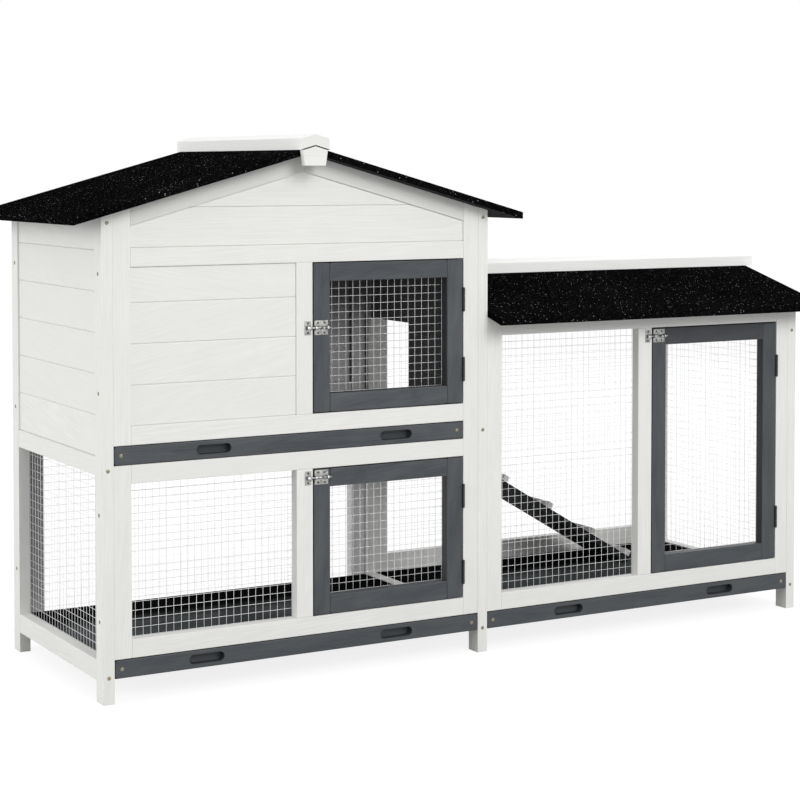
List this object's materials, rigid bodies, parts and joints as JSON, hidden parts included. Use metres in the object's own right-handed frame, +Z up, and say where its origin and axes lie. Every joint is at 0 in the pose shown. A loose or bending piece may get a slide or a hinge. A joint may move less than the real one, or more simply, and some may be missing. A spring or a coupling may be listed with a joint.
{
  "type": "guinea pig hutch with run",
  "caption": "Wooden guinea pig hutch with an upper and a lower room under a felted gable roof, joined to a roofed mesh run, with mesh doors, barrel bolts, pull-out trays and a ramp.",
  "frame": {"origin": "on the ground under the middle of the bounding box", "axes": "+X to the right along the front, +Y to the back, +Z up"},
  "size_m": [1.5176, 0.52, 0.9042],
  "materials": {
    "white_timber": "white paint over pine, grain faintly showing",
    "grey_timber": "slate grey paint over pine",
    "roof_board": "bare board",
    "roof_felt": "black mineral felt with bright specks",
    "wire_mesh": "galvanised welded wire",
    "tray_floor": "dark coated sheet",
    "bare_timber": "pale timber",
    "black_steel": "black coated",
    "zinc_steel": "bright zinc",
    "brass_screw": "yellow zinc screws"
  },
  "bodies": {
    "hutch": {"front_left_post": "white_timber", "front_middle_post": "white_timber", "front_right_post": "white_timber", "back_left_post": "white_timber", "back_middle_post": "white_timber", "back_right_post": "white_timber", "house_front_frame": "white_timber", "front_wall_boards": "white_timber", "front_gable_boards": "white_timber", "barge_boards": "white_timber", "back_wall_boards": "white_timber", "house_back_frame": "white_timber", "left_side_rails": "white_timber", "left_side_boards": "white_timber", "partition_frame": "white_timber", "partition_boards": "white_timber", "run_front_frame": "white_timber", "run_back_frame": "white_timber", "run_end_frame": "white_timber", "main_ridge_cap": "white_timber", "run_ridge_cap": "white_timber", "left_roof_board": "roof_board", "right_roof_board": "roof_board", "run_roof_boards": "roof_board", "main_roof_felt": "roof_felt", "run_roof_felt": "roof_felt", "front_window_mesh": "wire_mesh", "house_back_mesh": "wire_mesh", "left_side_mesh": "wire_mesh", "run_front_mesh": "wire_mesh", "run_back_mesh": "wire_mesh", "run_end_mesh": "wire_mesh", "tray_runners": "bare_timber", "frame_hinges": "black_steel", "latch_keepers": "zinc_steel", "post_screws": "brass_screw"},
    "upper_door": {"upper_door_frame": "grey_timber", "upper_door_mesh": "wire_mesh", "upper_door_hinges": "black_steel", "upper_door_latch_plate": "zinc_steel"},
    "lower_door": {"lower_door_frame": "grey_timber", "lower_door_mesh": "wire_mesh", "lower_door_hinges": "black_steel", "lower_door_latch_plate": "zinc_steel"},
    "run_door": {"run_door_frame": "grey_timber", "run_door_mesh": "wire_mesh", "run_door_hinges": "black_steel", "run_door_latch_plate": "zinc_steel"},
    "upper_bolt": {"upper_door_bolt": "zinc_steel"},
    "lower_bolt": {"lower_door_bolt": "zinc_steel"},
    "run_bolt": {"run_door_bolt": "zinc_steel"},
    "upper_tray": {"upper_tray_front": "grey_timber", "upper_tray_floor": "tray_floor"},
    "lower_tray": {"lower_tray_front": "grey_timber", "lower_tray_floor": "tray_floor"},
    "run_tray": {"run_tray_front": "grey_timber", "run_tray_floor": "tray_floor"},
    "ramp": {"ramp_board": "bare_timber", "ramp_cleats": "bare_timber", "ramp_hinges": "black_steel"}
  },
  "joints": [
    {"name": "upper_door_hinge", "type": "hinge", "parent": "hutch", "child": "upper_door", "pos_m": [-0.03905, -0.2176, 0.566], "axis": [0, 0, 1], "range_deg": [0, 110]},
    {"name": "lower_door_hinge", "type": "hinge", "parent": "hutch", "child": "lower_door", "pos_m": [-0.03905, -0.2176, 0.22425], "axis": [0, 0, 1], "range_deg": [0, 110]},
    {"name": "run_door_hinge", "type": "hinge", "parent": "hutch", "child": "run_door", "pos_m": [0.66195, -0.2176, 0.32775], "axis": [0, 0, 1], "range_deg": [0, 110]},
    {"name": "upper_bolt_slide", "type": "slide", "parent": "upper_door", "child": "upper_bolt", "axis": [-1, 0, 0], "range_m": [-0.006, 0.006]},
    {"name": "lower_bolt_slide", "type": "slide", "parent": "lower_door", "child": "lower_bolt", "axis": [-1, 0, 0], "range_m": [-0.006, 0.006]},
    {"name": "run_bolt_slide", "type": "slide", "parent": "run_door", "child": "run_bolt", "axis": [-1, 0, 0], "range_m": [-0.006, 0.006]},
    {"name": "upper_tray_slide", "type": "slide", "parent": "hutch", "child": "upper_tray", "axis": [0, -1, 0], "range_m": [0, 0.38]},
    {"name": "lower_tray_slide", "type": "slide", "parent": "hutch", "child": "lower_tray", "axis": [0, -1, 0], "range_m": [0, 0.38]},
    {"name": "run_tray_slide", "type": "slide", "parent": "hutch", "child": "run_tray", "axis": [0, -1, 0], "range_m": [0, 0.38]},
    {"name": "ramp_hinge", "type": "hinge", "parent": "hutch", "child": "ramp", "pos_m": [0.01275, 0.095, 0.3671], "axis": [0, -1, 0], "range_deg": [0, 30]}
  ]
}
